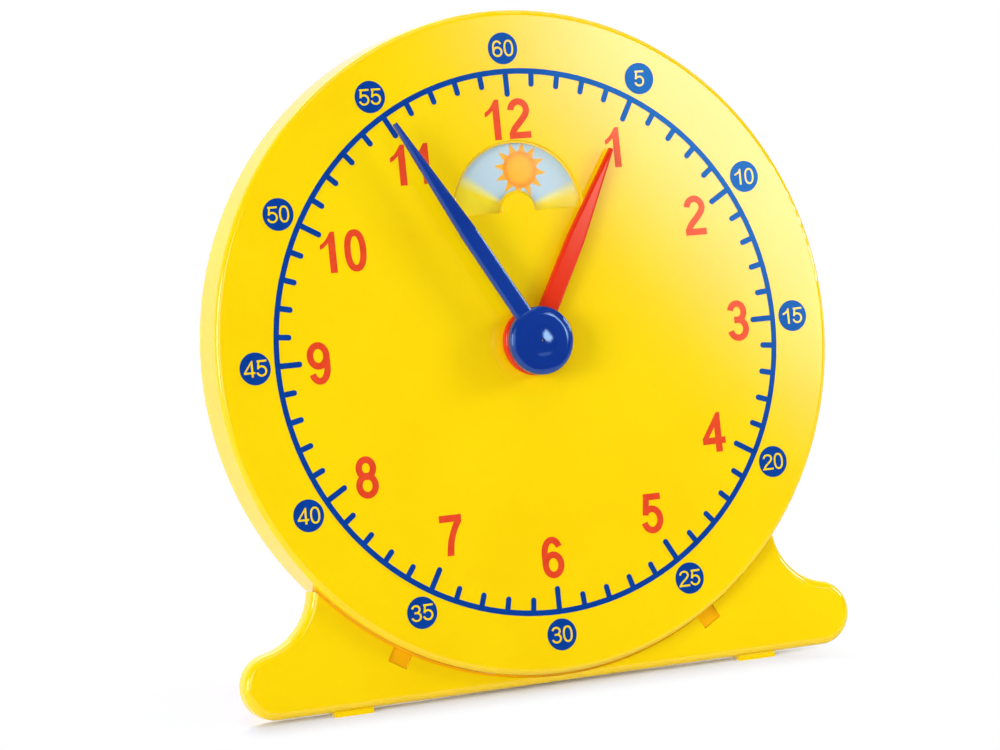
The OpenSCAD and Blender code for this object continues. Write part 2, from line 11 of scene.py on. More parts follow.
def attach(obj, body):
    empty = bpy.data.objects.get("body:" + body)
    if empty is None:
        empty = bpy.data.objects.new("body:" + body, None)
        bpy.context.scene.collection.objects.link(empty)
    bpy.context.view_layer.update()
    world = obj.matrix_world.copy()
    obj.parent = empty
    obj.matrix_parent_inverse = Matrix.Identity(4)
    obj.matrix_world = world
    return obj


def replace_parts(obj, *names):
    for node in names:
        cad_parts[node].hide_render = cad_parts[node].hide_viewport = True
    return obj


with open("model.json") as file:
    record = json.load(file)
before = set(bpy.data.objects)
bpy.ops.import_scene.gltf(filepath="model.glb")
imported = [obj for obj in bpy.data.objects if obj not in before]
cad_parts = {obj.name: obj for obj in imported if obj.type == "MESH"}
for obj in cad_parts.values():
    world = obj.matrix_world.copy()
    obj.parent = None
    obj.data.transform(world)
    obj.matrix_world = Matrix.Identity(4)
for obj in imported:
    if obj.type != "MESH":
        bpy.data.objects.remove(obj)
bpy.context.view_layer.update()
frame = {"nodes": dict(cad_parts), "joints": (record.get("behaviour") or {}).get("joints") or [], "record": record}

# Units: the model is in metres, and print sizes are written in millimetres
MM = 0.001

# Dial frame: x to the right, y up the dial, z out of the dial
JOINTS = {joint["name"]: joint for joint in frame["joints"]}
DIAL_CENTRE = Vector(JOINTS["minute_hand_turn"]["pos_m"])
DISC_CENTRE = Vector(JOINTS["sky_disc_turn"]["pos_m"])
DIAL_OUT = -Vector(JOINTS["minute_hand_turn"]["axis"]).normalized()
DIAL_RIGHT = Vector((1, 0, 0))
DIAL_UP = DIAL_OUT.cross(DIAL_RIGHT)
DIAL_TURN = math.atan2(DIAL_UP.z, DIAL_UP.y)

# Colours, linear
YELLOW = (0.97, 0.69, 0.002)
YELLOW_DEEP = (0.95, 0.64, 0.001)
# Painted shade: orange of the shaded gap between case and stand, the colour of the seam and lug plates
SEAM_PAINTED_SHADE = (1.0, 0.50, 0.003)
SEAM_PAINTED_SHADE_DEEP = (0.96, 0.46, 0.002)
PRINT_BLUE = (0.004, 0.052, 0.32)
PRINT_BLUE_DEEP = (0.002, 0.040, 0.26)
PRINT_RED = (0.82, 0.075, 0.022)
PRINT_RED_DEEP = (0.74, 0.055, 0.016)
HAND_BLUE = (0.006, 0.040, 0.30)
HAND_BLUE_DEEP = (0.004, 0.030, 0.24)
HAND_RED = (0.78, 0.034, 0.008)
HAND_RED_DEEP = (0.70, 0.026, 0.006)
NATURAL = (0.86, 0.83, 0.74)
NATURAL_DEEP = (0.80, 0.76, 0.66)
STEEL = (0.62, 0.62, 0.64)
STEEL_DEEP = (0.48, 0.48, 0.50)
SKY = (0.505, 0.67, 0.73)
DAWN_PALE = (0.90, 0.84, 0.26)
DAWN = (1.0, 0.79, 0.006)
DUSK = (0.75, 0.28, 0.08)
NIGHT = (0.030, 0.055, 0.22)
NIGHT_DEEP = (0.008, 0.016, 0.10)
SUN_MIDDLE = (1.0, 0.50, 0.01)
SUN_EDGE = (0.92, 0.28, 0.010)
SUN_RAYS = (1.0, 0.47, 0.020)
MOON = (0.92, 0.88, 0.62)

# Tints of the gloss, linear
WHITE_GLOSS = (1.0, 1.0, 1.0)
YELLOW_GLOSS = (1.0, 0.65, 0.95)
HAND_BLUE_GLOSS = (0.5, 0.8, 1.0)
PRINT_BLUE_GLOSS = (0.05, 0.40, 0.75)
HAND_RED_GLOSS = (1.0, 0.55, 0.45)
PRINT_RED_GLOSS = (1.0, 0.45, 0.30)

# Roughness of the finishes, and how far it wanders
PLASTIC_ROUGH = 0.06
HAND_ROUGH = 0.05
NATURAL_ROUGH = 0.42
INK_ROUGH = 0.08
LABEL_ROUGH = 0.60
STEEL_ROUGH = 0.30
LENS_ROUGH = 0.06
ROUGH_SPREAD = 0.015
LENS_SPREAD = 0.03

# Specular levels, and the clear plastic's tint and refraction
PLASTIC_SPECULAR = 0.5
BLUE_SPECULAR = 0.8
LABEL_SPECULAR = 0.2
LENS_TINT = (0.97, 0.985, 1.0)
LENS_IOR = 1.46

# Noise in the finishes, in waves per metre; depth in metres and strength of the moulded grain
PATCHES = 45.0
PLASTIC_GRAIN = 700.0
INK_GRAIN = 1500.0
GRAIN_DEPTH = 0.000004
GRAIN_STRENGTH = 0.35
PLASTIC_CLOUDS = 14.0
INK_CLOUDS = 160.0
STEEL_CLOUDS = 400.0
CLOUD_ENDS = (0.3, 0.7)

# Sky disc: middle of its day half and of its sun, clockwise from 12, and the sun's place and radius in mm
SKY_AT = math.radians(7.8)
SUN_AT = math.radians(11.0)
SUN_AT_R = 25.2
SUN_R = 11.0

# Sky label's colours, from the middle of the night half, at 0, to the middle of the day half, at 1
SKY_STOPS = (
    (0.0, NIGHT_DEEP), (0.28, NIGHT), (0.36, DUSK), (0.43, DAWN),
    (0.645, DAWN), (0.705, DAWN_PALE), (0.765, SKY),
)

# Sun's colours, from its middle, at 0, to twice its radius, at 1
SUN_STOPS = ((0.0, SUN_MIDDLE), (0.30, SUN_MIDDLE), (0.47, SUN_EDGE), (0.53, SUN_RAYS))

# Outlines: triangles of the inside only, merging distance in mm, and the limit of a mitre
INSIDE_ONLY = 1
MERGE = 1e-5
MITRE = 0.5

# Printed numbers: heights, widths, strokes and layer thickness in mm
HOUR_H = 24.3
HOUR_W = 14.2
HOUR_STROKE = 4.0
MINUTE_H = 9.7
MINUTE_W = 6.4
MINUTE_STROKE = 1.12
BADGE_AT_R = 176.8
INK = 0.12
BADGE_INK = 0.15

# Digits: widths and gaps as shares of a common digit's width, stems as shares of the stroke
DIGIT_W = {0: 0.97, 1: 0.68, 4: 1.09}
GAP = 0.16
GAP_AFTER_ONE = 0.38
STEM = 1.1
ROUND_DIGITS = (0, 3, 6, 8, 9)
OVERSHOOT = 0.03
HOUR_PLACES = {
    12: (-1.4, 134.2), 1: (66.1, 112.4), 2: (116.9, 67.1), 3: (138.9, 0.25),
    4: (114.5, -66.4), 5: (67.6, -111.2), 6: (-0.9, -130.3), 7: (-64.7, -109.8),
    8: (-114.6, -70.0), 9: (-137.2, -0.5), 10: (-114.8, 63.6), 11: (-67.3, 111.5),
}

# Band on the minute hub: level of the hub's flat, radii, start and curve of the slope, in mm
HUB_TOP = 16.2
BAND_IN_R = 9.5
BAND_OUT_R = 18.4
SLOPE_FROM_R = 15.6
SLOPE_START = 0.065
SLOPE_CURVE = 60.0
BAND_SUNK = 0.05

# Band's mesh: steps of its slope, sides round the hub, and the first smooth face of its section
SLOPE_STEPS = 12
BAND_SIDES = 120
BAND_SMOOTH_FROM = 4

# Plates in the seam between case and stand and on the lugs in the stand's catches, coloured with painted orange
# shade: mm, angles from 12, steps of the mesh
STAND_FRONT = -7.0
LIP_RADII = (200.08, 201.52)
LIP_ENDS = (132.0, 228.0)
LIP_LEVELS = (STAND_FRONT - 3.4, STAND_FRONT - 0.8)
LIP_STEPS = 96
LUG_AT = 150.2
LUG_HALF_ANGLE = 1.74
LUG_RADII = (201.6, 210.1)
LUG_LEVELS = (STAND_FRONT - 3.0, STAND_FRONT - 1.2)
LUG_STEPS = 4

# Screws: head, dome, shank, tip and cross recess in mm, and the least distance between two screws
HEAD_R = 3.1
HEAD_T = 1.8
DOME_R = 6.2
SHANK_R = 1.4
TIP_R = 0.4
TIP_T = 1.0
CROSS_REACH = 1.9
CROSS_HALF = 0.45
CROSS_DEEP = 1.1
SCREW_APART = 7.0

# Screw's mesh: sides of a head, and inner rings of its dome as shares of its radius
HEAD_SIDES = 36
HEAD_RINGS = (0.88, 0.74)

# Camera at the photograph's place, for an image of 1000 by 750
CAMERA_AT = (-0.87573, -1.94869, 0.67494)
CAMERA_TURN = (76.9774, 0.1853, -23.8767)
CAMERA_LENS = 130.406
SENSOR_W = 36.0

# Floor: half its side, height of the backdrop round it, paint and own light
FLOOR_HALF = 15.0
BACKDROP_H = 1.0
FLOOR_PAINT = (0.76, 0.79, 0.94)
FLOOR_LIFT = 0.05

# Floor's shade: its middle, and where it fades to white at the sides, in front and behind
SHADE_MIDDLE_X = -0.03
SHADE_SIDES = (0.15, 0.23)
SHADE_FRONT = (0.047, 0.082)
SHADE_BACK = (0.06, 0.13)

# Studio: brightness of the room before and behind the clock, and where along Y the one turns into the other
ROOM_FRONT = 0.05
ROOM_BACK = 1.0
ROOM_TURN = (-0.1, 0.6)

# Strip lights of the room: brightness; then direction, lean, half sizes and soft edge in degrees
STRIPS = {
    "right_strip": (10.5, 29.95, 15.75, 30.0, 4.4, 6.4, 3.4),
    "left_strip": (12.0, -64.0, 14.0, 0.0, 13.0, 16.0, 5.0),
}

# Lamps: place, aim, side and power
LAMPS = {
    "front_softbox": ((-0.95, -2.20, 1.05), (0.0, 0.0, 0.2), 1.2, 5.2),
    "right_softbox": ((1.90, -0.70, 0.90), (0.0, 0.0, 0.2), 0.6, 7.5),
    "top_softbox": ((0.0, -0.50, 2.30), (0.0, 0.0, 0.2), 1.5, 4.2),
    "background_softbox": ((-0.2, 1.50, 1.50), (-0.2, 1.30, 0.0), 1.2, 18.0),
}
LAMP_SPREAD = math.radians(110)


def on_dial():
    """Matrix from dial-frame millimetres to the part's metres."""
    turn = Matrix((DIAL_RIGHT, DIAL_UP, DIAL_OUT)).transposed().to_4x4()
    return Matrix.Translation(DIAL_CENTRE) @ turn @ Matrix.Scale(MM, 4)


def add_node(tree, kind, inputs=None, **attributes):
    """New node with some attributes and input values set."""
    made = tree.nodes.new(kind)
    for name, value in attributes.items():
        setattr(made, name, value)
    for name, value in (inputs or {}).items():
        made.inputs[name].default_value = value
    return made


def join(tree, source, output, target, entry):
    """Link from a node's output to another node's input."""
    tree.links.new(source.outputs[output], target.inputs[entry])


def rgba(colour):
    return (*colour, 1.0)


def noise(tree, coords, scale, detail=3.0):
    """Noise in object space; scale is in waves per metre."""
    made = add_node(tree, "ShaderNodeTexNoise", {"Scale": scale, "Detail": detail})
    join(tree, coords, "Object", made, "Vector")
    return made


def combined(tree, operation, first, second):
    """Output of a math node that two outputs go into."""
    made = add_node(tree, "ShaderNodeMath", operation=operation)
    tree.links.new(first, made.inputs[0])
    tree.links.new(second, made.inputs[1])
    return made.outputs["Value"]


def product(tree, first, second):
    return combined(tree, "MULTIPLY", first, second)


def larger(tree, first, second):
    return combined(tree, "MAXIMUM", first, second)


def soft_step(tree, value, ends):
    """0 up to the first end, 1 past the second one, and smooth between them."""
    step = add_node(tree, "ShaderNodeMapRange", {"From Min": ends[0], "From Max": ends[1]},
                    interpolation_type="SMOOTHSTEP")
    tree.links.new(value, step.inputs["Value"])
    return step.outputs["Result"]


def new_surface(name, rough, grain=PLASTIC_GRAIN, spread=ROUGH_SPREAD):
    """Principled material with uneven gloss and a fine moulded grain."""
    material = bpy.data.materials.new(name)
    material.use_nodes = True
    tree = material.node_tree
    shader = tree.nodes["Principled BSDF"]
    coords = add_node(tree, "ShaderNodeTexCoord")
    patches = noise(tree, coords, PATCHES)
    uneven = add_node(tree, "ShaderNodeMapRange", {"To Min": rough - spread, "To Max": rough + spread})
    join(tree, patches, "Fac", uneven, "Value")
    join(tree, uneven, "Result", shader, "Roughness")
    pores = noise(tree, coords, grain)
    bump = add_node(tree, "ShaderNodeBump", {"Strength": GRAIN_STRENGTH, "Distance": GRAIN_DEPTH})
    join(tree, pores, "Fac", bump, "Height")
    join(tree, bump, "Normal", shader, "Normal")
    return material, tree, shader, coords


def drifting_colour(tree, coords, light, deep, scale):
    """Colour that drifts slowly between two tones."""
    clouds = noise(tree, coords, scale)
    blend = add_node(tree, "ShaderNodeMix", data_type="RGBA")
    blend.inputs["A"].default_value = rgba(deep)
    blend.inputs["B"].default_value = rgba(light)
    contrast = add_node(tree, "ShaderNodeMapRange", {"From Min": CLOUD_ENDS[0], "From Max": CLOUD_ENDS[1]})
    join(tree, clouds, "Fac", contrast, "Value")
    join(tree, contrast, "Result", blend, "Factor")
    return blend


def toned_surface(name, light, deep, rough, clouds=PLASTIC_CLOUDS, grain=PLASTIC_GRAIN):
    """Material of one colour family: moulded plastic, ink or metal."""
    material, tree, shader, coords = new_surface(name, rough, grain)
    join(tree, drifting_colour(tree, coords, light, deep, clouds), "Result", shader, "Base Color")
    return material, shader


def moulded_plastic(name, light, deep, rough=PLASTIC_ROUGH, shine=WHITE_GLOSS, specular=PLASTIC_SPECULAR):
    """Glossy moulded plastic, with a tint in its gloss where one is given."""
    material, shader = toned_surface(name, light, deep, rough)
    shader.inputs["Specular Tint"].default_value = rgba(shine)
    shader.inputs["Specular IOR Level"].default_value = specular
    return material


def printed_ink(name, light, deep, shine):
    """Screen-printed ink: a little less even than the plastic under it."""
    material, shader = toned_surface(name, light, deep, INK_ROUGH, INK_CLOUDS, INK_GRAIN)
    shader.inputs["Specular Tint"].default_value = rgba(shine)
    return material


def plain_steel():
    """Bare steel of the screws, pins and arbor."""
    material, shader = toned_surface("plain_steel", STEEL, STEEL_DEEP, STEEL_ROUGH, STEEL_CLOUDS)
    shader.inputs["Metallic"].default_value = 1.0
    return material


def clear_plastic():
    """Clear moulding that lets lamps through to the disc behind it."""
    material, tree, shader, _ = new_surface("clear_lens", LENS_ROUGH, spread=LENS_SPREAD)
    shader.inputs["Base Color"].default_value = rgba(LENS_TINT)
    shader.inputs["Transmission Weight"].default_value = 1.0
    shader.inputs["IOR"].default_value = LENS_IOR
    path = add_node(tree, "ShaderNodeLightPath")
    through = add_node(tree, "ShaderNodeBsdfTransparent")
    mix = add_node(tree, "ShaderNodeMixShader")
    passing = larger(tree, path.outputs["Is Shadow Ray"], path.outputs["Is Diffuse Ray"])
    tree.links.new(passing, mix.inputs["Fac"])
    tree.links.new(shader.outputs["BSDF"], mix.inputs[1])
    tree.links.new(through.outputs["BSDF"], mix.inputs[2])
    join(tree, mix, "Shader", tree.nodes["Material Output"], "Surface")
    return material


def disc_coords(tree, coords):
    """Coordinates on the sky disc: x right and y up, in metres from its axis."""
    mapping = add_node(tree, "ShaderNodeMapping", vector_type="TEXTURE")
    mapping.inputs["Location"].default_value = DISC_CENTRE
    mapping.inputs["Rotation"].default_value = (DIAL_TURN, 0, 0)
    join(tree, coords, "Object", mapping, "Vector")
    flat = add_node(tree, "ShaderNodeVectorMath", operation="MULTIPLY")
    flat.inputs[1].default_value = (1, 1, 0)
    tree.links.new(mapping.outputs["Vector"], flat.inputs[0])
    return flat


def towards_sun(tree, flat):
    """1 at the middle of the day half of the disc and 0 at the middle of the night half."""
    unit = add_node(tree, "ShaderNodeVectorMath", operation="NORMALIZE")
    tree.links.new(flat.outputs["Vector"], unit.inputs[0])
    dot = add_node(tree, "ShaderNodeVectorMath", operation="DOT_PRODUCT")
    dot.inputs[1].default_value = (math.sin(SKY_AT), math.cos(SKY_AT), 0)
    tree.links.new(unit.outputs["Vector"], dot.inputs[0])
    share = add_node(tree, "ShaderNodeMapRange", {"From Min": -1.0, "From Max": 1.0})
    join(tree, dot, "Value", share, "Value")
    return share


def colour_ramp(tree, stops):
    """Ramp through colours at given places."""
    ramp = add_node(tree, "ShaderNodeValToRGB")
    elements = ramp.color_ramp.elements
    while len(elements) < len(stops):
        elements.new(0.5)
    for element, (position, colour) in zip(elements, stops):
        element.position = position
        element.color = rgba(colour)
    return ramp


def sky_print():
    """Sky label: pale day sky, yellow dawn and dusk beside it, and a dark night half."""
    material, tree, shader, coords = new_surface("sky_print", LABEL_ROUGH, INK_GRAIN)
    share = towards_sun(tree, disc_coords(tree, coords))
    ramp = colour_ramp(tree, SKY_STOPS)
    join(tree, share, "Result", ramp, "Fac")
    join(tree, ramp, "Color", shader, "Base Color")
    shader.inputs["Specular IOR Level"].default_value = LABEL_SPECULAR
    return material


def motif_print():
    """Sun in warm tones on the day half; moon and stars in pale cream on the night half."""
    material, tree, shader, coords = new_surface("motif_print", LABEL_ROUGH, INK_GRAIN)
    flat = disc_coords(tree, coords)
    sun_middle = SUN_AT_R * MM * Vector((math.sin(SUN_AT), math.cos(SUN_AT), 0))
    away = add_node(tree, "ShaderNodeVectorMath", operation="DISTANCE")
    away.inputs[1].default_value = sun_middle
    tree.links.new(flat.outputs["Vector"], away.inputs[0])
    reach = add_node(tree, "ShaderNodeMapRange", {"From Max": 2 * SUN_R * MM})
    join(tree, away, "Value", reach, "Value")
    warm = colour_ramp(tree, SUN_STOPS)
    join(tree, reach, "Result", warm, "Fac")
    day = add_node(tree, "ShaderNodeMath", {1: 0.5}, operation="GREATER_THAN")
    tree.links.new(towards_sun(tree, flat).outputs["Result"], day.inputs[0])
    blend = add_node(tree, "ShaderNodeMix", data_type="RGBA")
    blend.inputs["A"].default_value = rgba(MOON)
    join(tree, warm, "Color", blend, "B")
    join(tree, day, "Value", blend, "Factor")
    join(tree, blend, "Result", shader, "Base Color")
    shader.inputs["Specular IOR Level"].default_value = LABEL_SPECULAR
    return material


def dress_nodes(finishes):
    """Gives every CAD node the finish of its material slot."""
    for row in frame["record"]["subparts"]:
        for slot in frame["nodes"][row["node"]].material_slots:
            slot.material = finishes[row["material_slot"]]


def arc(cx, cy, rx, ry, start, end, steps=28, power=2.0):
    """Points of an elliptical arc in the unit cell; a power over 2 squares the ellipse a little."""
    points = []
    for i in range(steps + 1):
        t = math.radians(start + (end - start) * i / steps)
        c, s = math.cos(t), math.sin(t)
        points.append((cx + rx * math.copysign(abs(c) ** (2 / power), c),
                       cy + ry * math.copysign(abs(s) ** (2 / power), s)))
    return points


def curve(points, steps=6):
    """Smooth curve through the points."""
    ends = [points[0]] + list(points) + [points[-1]]
    line = []
    for a, b, c, d in zip(ends, ends[1:], ends[2:], ends[3:]):
        for i in range(steps):
            t = i / steps
            line.append(tuple(0.5 * (2 * q + (r - p) * t + (2 * p - 5 * q + 4 * r - s) * t * t
                                     + (3 * q - p - 3 * r + s) * t ** 3)
                              for p, q, r, s in zip(a, b, c, d)))
    return line + [points[-1]]


def digit_strokes(digit):
    """Middle lines of a digit's strokes in a unit cell, as lists of points."""
    if digit == 0:
        return [arc(0.5, 0.5, 0.5, 0.5, 0, 360, 48, power=2.3)]
    if digit == 2:
        hook = arc(0.5, 0.74, 0.5, 0.26, 176, -4)
        slope = curve([hook[-1], (0.90, 0.60), (0.59, 0.42), (0.21, 0.23), (0.04, 0.09), (0.0, 0.0)])
        return [hook + slope[1:], [(-0.20, 0.0), (1.18, 0.0)]]
    if digit == 3:
        upper = arc(0.48, 0.76, 0.45, 0.24, 168, -88)
        lower = arc(0.48, 0.265, 0.52, 0.265, 88, -168)
        return [upper, lower, [(0.26, 0.525), (0.52, 0.525)]]
    if digit == 5:
        bowl = arc(0.47, 0.32, 0.53, 0.32, 142, -166)
        return [bowl, [(0.20, 1.0), (0.06, 0.46)], [(0.0, 1.0), (1.12, 1.0)]]
    if digit == 6:
        tail = [(0.0, 0.29)] + arc(0.5, 0.62, 0.5, 0.38, 180, 27)
        return [arc(0.5, 0.289, 0.5, 0.289, 0, 360, 40), tail]
    if digit == 8:
        return [arc(0.5, 0.76, 0.44, 0.24, 0, 360, 40), arc(0.5, 0.27, 0.5, 0.27, 0, 360, 40)]
    if digit == 9:
        return [[(1 - x, 1 - y) for x, y in line] for line in digit_strokes(6)]
    return []


def one_plates(w, h, s):
    """Stem of a 1 with its curved flag."""
    left = w - s
    over = curve([(left + 0.43 * s, h), (left + 0.2 * s, 0.949 * h), (0.88 * left, 0.856 * h),
                  (0.5 * left, 0.764 * h), (0, 0.692 * h)])
    under = curve([(0, 0.585 * h), (0.33 * left, 0.615 * h), (0.69 * left, 0.672 * h), (left, 0.733 * h)])
    return [[(left, 0), (w, 0), (w, h)] + over + under]


def four_plates(w, h, s):
    """Stem, bar and slanted stroke of a 4."""
    right = 0.837 * w
    left = right - s
    bar = 0.204 * h
    low = bar + 0.8 * s
    top_left = right - 0.55 * s
    climb = (h - low) / top_left
    inner = 0.9 * s
    return [
        [(left, 0), (right, 0), (right, h), (top_left, h), (left, low + left * climb)],
        [(0, bar), (w, bar), (w, bar + 0.92 * s), (0, bar + 0.92 * s)],
        [(0, bar), (inner, bar), (inner, low), (left, low + (left - inner) * climb),
         (left, low + left * climb), (0, low)],
    ]


def seven_plates(w, h, s):
    """Bar and curved stem of a 7."""
    bar = h - 0.95 * s
    after = curve([(0.53 * w, 0), (0.604 * w, 0.326 * h), (0.757 * w, 0.585 * h), (w, bar)])
    before = curve([(0.66 * w, bar), (0.46 * w, 0.585 * h), (0.306 * w, 0.326 * h), (0.225 * w, 0)])
    return [[(0, bar), (w, bar), (w, h), (0, h)], after + before]


def side_points(line, half):
    """Left and right edges of a stroke, mitred at its inner points."""
    closed = math.dist(line[0], line[-1]) < MERGE
    count = len(line)
    edges = []
    for i, point in enumerate(line):
        before = line[i - 1] if i else line[-2] if closed else point
        after = line[i + 1] if i < count - 1 else line[1] if closed else point
        ways = [Vector(b) - Vector(a) for a, b in ((before, point), (point, after)) if a != b]
        units = [way.normalized() for way in ways]
        mean = sum(units, Vector((0, 0))).normalized()
        reach = half / max(MITRE, mean.dot(units[0]))
        normal = Vector((-mean.y, mean.x)) * reach
        edges.append((Vector(point) + normal, Vector(point) - normal))
    return edges


def stroke_plates(line, w, h, s):
    """Counter-clockwise quads along a stroke, fitted into a cell of width w and height h."""
    fitted = [(s / 2 + x * (w - s), s / 2 + y * (h - s)) for x, y in line]
    edges = side_points(fitted, s / 2)
    return [[a[1], b[1], b[0], a[0]] for a, b in zip(edges, edges[1:])]


def digit_faces(digit, w, h, s):
    """Triangles of a digit's outline: the union of its strokes or plates, centred on its cell."""
    straight = {1: one_plates, 4: four_plates, 7: seven_plates}
    if digit in straight:
        plates = straight[digit](w, h, STEM * s)
    else:
        plates = [plate for line in digit_strokes(digit) for plate in stroke_plates(line, w, h, s)]
    points = []
    faces = []
    for plate in plates:
        faces.append(list(range(len(points), len(points) + len(plate))))
        points += [Vector((x - w / 2, y - h / 2)) for x, y in plate]
    verts, _, triangles, _, _, covered = delaunay_2d_cdt(points, [], faces, INSIDE_ONLY, MERGE)
    return verts, [t for t, sources in zip(triangles, covered) if sources]


def digit_row(digits, w):
    """Digits with the middle and width of each, set side by side about 0."""
    row = []
    x = 0.0
    for digit in digits:
        own = w * DIGIT_W.get(digit, 1.0)
        row.append([digit, x + own / 2, own])
        x += own + w * (GAP_AFTER_ONE if digit == 1 else GAP)
    whole = row[-1][1] + row[-1][2] / 2
    return [(digit, middle - whole / 2, own) for digit, middle, own in row]


def add_piece(name, mesh, material, body):
    """Turns a mesh in dial millimetres into a piece that rides on a body."""
    mesh.transform(on_dial())
    data = bpy.data.meshes.new(name)
    mesh.to_mesh(data)
    mesh.free()
    data.materials.append(material)
    piece = bpy.data.objects.new(name, data)
    bpy.context.scene.collection.objects.link(piece)
    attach(piece, body)
    return piece


def number_piece(name, number, size, centre, level, material):
    """Printed number of one or two digits, as a thin layer on the dial."""
    w, h, s = size
    mesh = bmesh.new()
    for digit, middle, own in digit_row([int(c) for c in str(number)], w):
        tall = h * (1 + OVERSHOOT) if digit in ROUND_DIGITS else h
        verts, faces = digit_faces(digit, own, tall, s)
        offset = Vector(centre) + Vector((middle, 0))
        corners = [mesh.verts.new((*(v + offset), level)) for v in verts]
        for face in faces:
            mesh.faces.new([corners[k] for k in face])
    loose = [v for v in mesh.verts if not v.link_faces]
    bmesh.ops.delete(mesh, geom=loose, context="VERTS")
    layer = bmesh.ops.extrude_face_region(mesh, geom=list(mesh.faces))
    raised = [item for item in layer["geom"] if isinstance(item, bmesh.types.BMVert)]
    bmesh.ops.translate(mesh, verts=raised, vec=(0, 0, INK))
    bmesh.ops.recalc_face_normals(mesh, faces=mesh.faces)
    add_piece(name, mesh, material, "case")


def print_numbers(red, yellow):
    """Hour numbers on the face and minute numbers in the badges."""
    hour_size = (HOUR_W, HOUR_H, HOUR_STROKE)
    minute_size = (MINUTE_W, MINUTE_H, MINUTE_STROKE)
    for hour, place in HOUR_PLACES.items():
        number_piece(f"hour_number_{hour}", hour, hour_size, place, 0.0, red)
        angle = math.radians(30 * hour)
        badge = (BADGE_AT_R * math.sin(angle), BADGE_AT_R * math.cos(angle))
        number_piece(f"minute_number_{5 * hour}", 5 * hour, minute_size, badge, BADGE_INK,
                     yellow)


def band_section():
    """Half section of the hub band: flat round the bump, then sloping down ever more to the hub's rim."""
    reach = BAND_OUT_R - SLOPE_FROM_R
    along = [reach * i / SLOPE_STEPS for i in range(SLOPE_STEPS + 1)]
    drop = [SLOPE_START * x + x ** 2 / (2 * SLOPE_CURVE) for x in along]
    rise = drop[-1]
    top = [(SLOPE_FROM_R + x, rise - down) for x, down in zip(along, drop)]
    return [(BAND_OUT_R, -BAND_SUNK), (BAND_IN_R, -BAND_SUNK), (BAND_IN_R, rise)] + top


def hub_band(material):
    """Low band on the flat of the minute hub, round its middle bump."""
    mesh = bmesh.new()
    section = band_section()
    rows = []
    for k in range(BAND_SIDES):
        angle = 2 * math.pi * k / BAND_SIDES
        c, s = math.cos(angle), math.sin(angle)
        rows.append([mesh.verts.new((r * c, r * s, HUB_TOP + z)) for r, z in section])
    count = len(section)
    for row, after in zip(rows, rows[1:] + rows[:1]):
        for i in range(count):
            j = (i + 1) % count
            mesh.faces.new((row[i], row[j], after[j], after[i])).smooth = i >= BAND_SMOOTH_FROM
    bmesh.ops.recalc_face_normals(mesh, faces=mesh.faces)
    add_piece("minute_hub_band", mesh, material, "minute")


def sector_plate(mesh, radii, ends, levels, steps):
    """Plate between two radii, two angles clockwise from 12 and two levels of the dial."""
    section = [(radii[0], levels[0]), (radii[1], levels[0]), (radii[1], levels[1]), (radii[0], levels[1])]
    rows = []
    for k in range(steps + 1):
        angle = math.radians(ends[0] + (ends[1] - ends[0]) * k / steps)
        rows.append([mesh.verts.new((r * math.sin(angle), r * math.cos(angle), z)) for r, z in section])
    for row, after in zip(rows, rows[1:]):
        for i in range(4):
            j = (i + 1) % 4
            mesh.faces.new((row[i], row[j], after[j], after[i]))
    mesh.faces.new(rows[0])
    mesh.faces.new(rows[-1])


def seam_piece(name, plates, material):
    """Piece of sector plates in the seam between case and stand, in the painted orange shade of the seam."""
    mesh = bmesh.new()
    for radii, ends, levels, steps in plates:
        sector_plate(mesh, radii, ends, levels, steps)
    bmesh.ops.recalc_face_normals(mesh, faces=mesh.faces)
    add_piece(name, mesh, material, "case")


def seam_pieces(material):
    """Lip along the arch of the stand and the faces of the two lugs in their catches, both in the painted orange
    shade of the seam.
    """
    seam_piece("arch_lip", [(LIP_RADII, LIP_ENDS, LIP_LEVELS, LIP_STEPS)], material)
    lugs = []
    for middle in (LUG_AT, 360 - LUG_AT):
        ends = (middle - LUG_HALF_ANGLE, middle + LUG_HALF_ANGLE)
        lugs.append((LUG_RADII, ends, LUG_LEVELS, LUG_STEPS))
    seam_piece("lug_faces", lugs, material)


def screw_points(node):
    """Points of a node in dial millimetres, grouped by screw."""
    to_dial = on_dial().inverted()
    groups = []
    for vertex in frame["nodes"][node].data.vertices:
        point = to_dial @ vertex.co
        near = [group for group in groups if (group[0] - point).xy.length < SCREW_APART]
        if near:
            near[0].append(point)
        else:
            groups.append([point])
    return groups


def screw_place(points):
    """Middle, head end and tip of a screw, from its points."""
    low = Vector([min(values) for values in zip(*points)])
    high = Vector([max(values) for values in zip(*points)])
    return ((low + high) / 2).xy, low.z, high.z


def ring(radius):
    """Points of a circle with the sides of a screw head."""
    turns = [2 * math.pi * k / HEAD_SIDES for k in range(HEAD_SIDES)]
    return [Vector((radius * math.cos(a), radius * math.sin(a))) for a in turns]


def cross_outline():
    """Corners of the cross recess, counter-clockwise."""
    quarter = [(CROSS_HALF, CROSS_REACH), (-CROSS_HALF, CROSS_REACH), (-CROSS_HALF, CROSS_HALF)]
    corners = []
    for k in range(4):
        turn = Matrix.Rotation(math.radians(90 * k), 2)
        corners += [turn @ Vector(corner) for corner in quarter]
    return corners


def head_plan():
    """Plan of a screw head: points, triangles, which of these lie in the cross, and the two outlines."""
    cross = cross_outline()
    points = ring(HEAD_R) + cross
    for share in HEAD_RINGS:
        points += ring(share * HEAD_R)
    rim = list(range(HEAD_SIDES))
    recess = list(range(HEAD_SIDES, HEAD_SIDES + len(cross)))
    verts, _, faces, sources, _, covered = delaunay_2d_cdt(points, [], [rim, recess], INSIDE_ONLY, MERGE)
    made = {source: k for k, found in enumerate(sources) for source in found}
    in_cross = [1 in within for within in covered]
    return verts, faces, in_cross, [made[k] for k in rim], [made[k] for k in recess]


